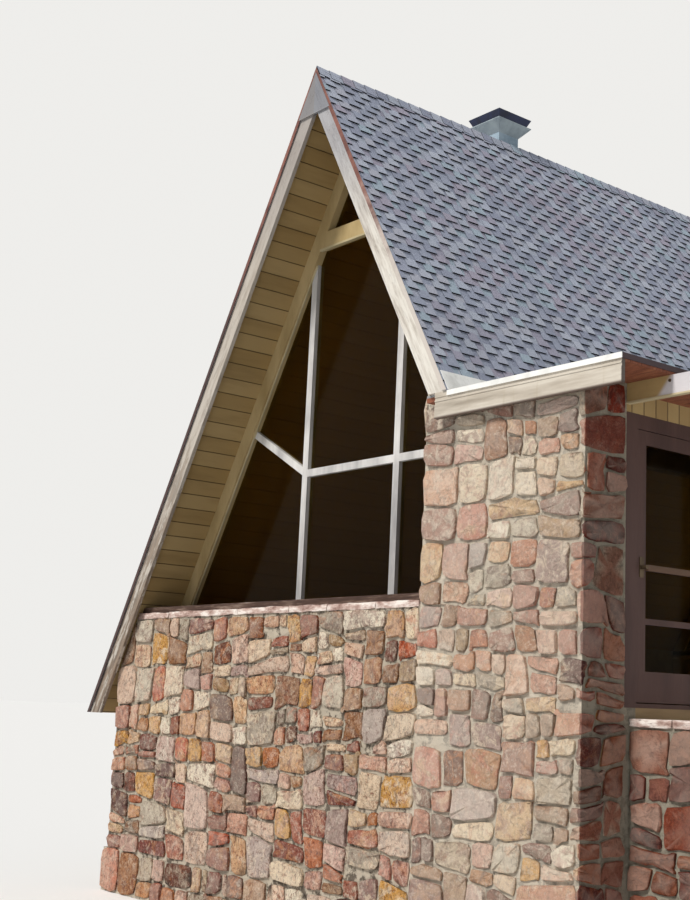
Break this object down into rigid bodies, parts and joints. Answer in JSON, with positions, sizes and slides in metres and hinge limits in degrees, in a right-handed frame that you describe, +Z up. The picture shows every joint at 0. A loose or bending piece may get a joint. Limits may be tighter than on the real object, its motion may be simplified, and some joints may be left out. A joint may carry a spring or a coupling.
{
  "type": "a-frame cabin",
  "caption": "Steep A-frame cabin: glazed gable over a low rubble stone wall, shingled slopes, flat-roofed side wing with a hinged glazed door, porch beam and sheet-metal chimney.",
  "frame": {"origin": "under the middle of the front glass, on the plane that all walls and posts stand on", "axes": "+X to the right along the front, +Y back along the ridge, +Z up"},
  "size_m": [8.9311, 9.64, 8.38],
  "materials": {
    "shingle": "granular matt asphalt",
    "soffit_boards": "painted boards",
    "barge_paint": "weathered paint",
    "tan_timber": "painted timber",
    "rubble_stone": "random rubble in grey mortar",
    "ledge_wood": "weathered brown timber",
    "frame_paint": "pale grey paint",
    "window_glass": "clear",
    "cream_trim": "cream paint",
    "roof_ply": "stained plywood",
    "white_metal": "painted sheet",
    "door_brown": "dark brown paint",
    "dark_metal": "worn",
    "chase_metal": "satin sheet"
  },
  "bodies": {
    "house": {"back_cap_stones": "rubble_stone", "back_collar": "tan_timber", "back_fascia": "cream_trim", "back_glass": "window_glass", "back_gusset": "barge_paint", "back_ledge": "ledge_wood", "back_left_barge": "barge_paint", "back_left_rafter": "tan_timber", "back_porch_post": "tan_timber", "back_right_barge": "barge_paint", "back_right_rafter": "tan_timber", "back_wall": "rubble_stone", "back_window_frame": "frame_paint", "chimney_chase": "chase_metal", "chimney_hood": "chase_metal", "chimney_skirt": "chase_metal", "door_frame": "door_brown", "door_head_wall": "tan_timber", "entrance_step": "rubble_stone", "flat_roof": "roof_ply", "floor": "ledge_wood", "front_cap_stones": "rubble_stone", "front_collar": "tan_timber", "front_fascia": "cream_trim", "front_glass": "window_glass", "front_gusset": "barge_paint", "front_ledge": "ledge_wood", "front_left_barge": "barge_paint", "front_left_rafter": "tan_timber", "front_low_wall": "rubble_stone", "front_porch_post": "tan_timber", "front_right_barge": "barge_paint", "front_right_rafter": "tan_timber", "front_tall_wall": "rubble_stone", "front_window_frame": "frame_paint", "left_roof_deck": "soffit_boards", "left_shingles": "shingle", "left_wall": "rubble_stone", "porch_back_beam": "tan_timber", "porch_beam": "tan_timber", "porch_roof": "roof_ply", "ridge_cap": "shingle", "right_plinth": "rubble_stone", "right_roof_deck": "soffit_boards", "right_shingles": "shingle", "right_wall": "tan_timber", "roof_edge": "white_metal", "slope_flashing": "white_metal", "wing_beam": "tan_timber"},
    "door": {"entrance_door": "door_brown", "door_glass": "window_glass", "push_bar": "door_brown", "door_latch": "dark_metal"}
  },
  "joints": [
    {"name": "door_hinge", "type": "hinge", "parent": "house", "child": "door", "pos_m": [3.458, 1.0135, 2.09], "axis": [0, 0, 1], "range_deg": [0, 100]}
  ]
}
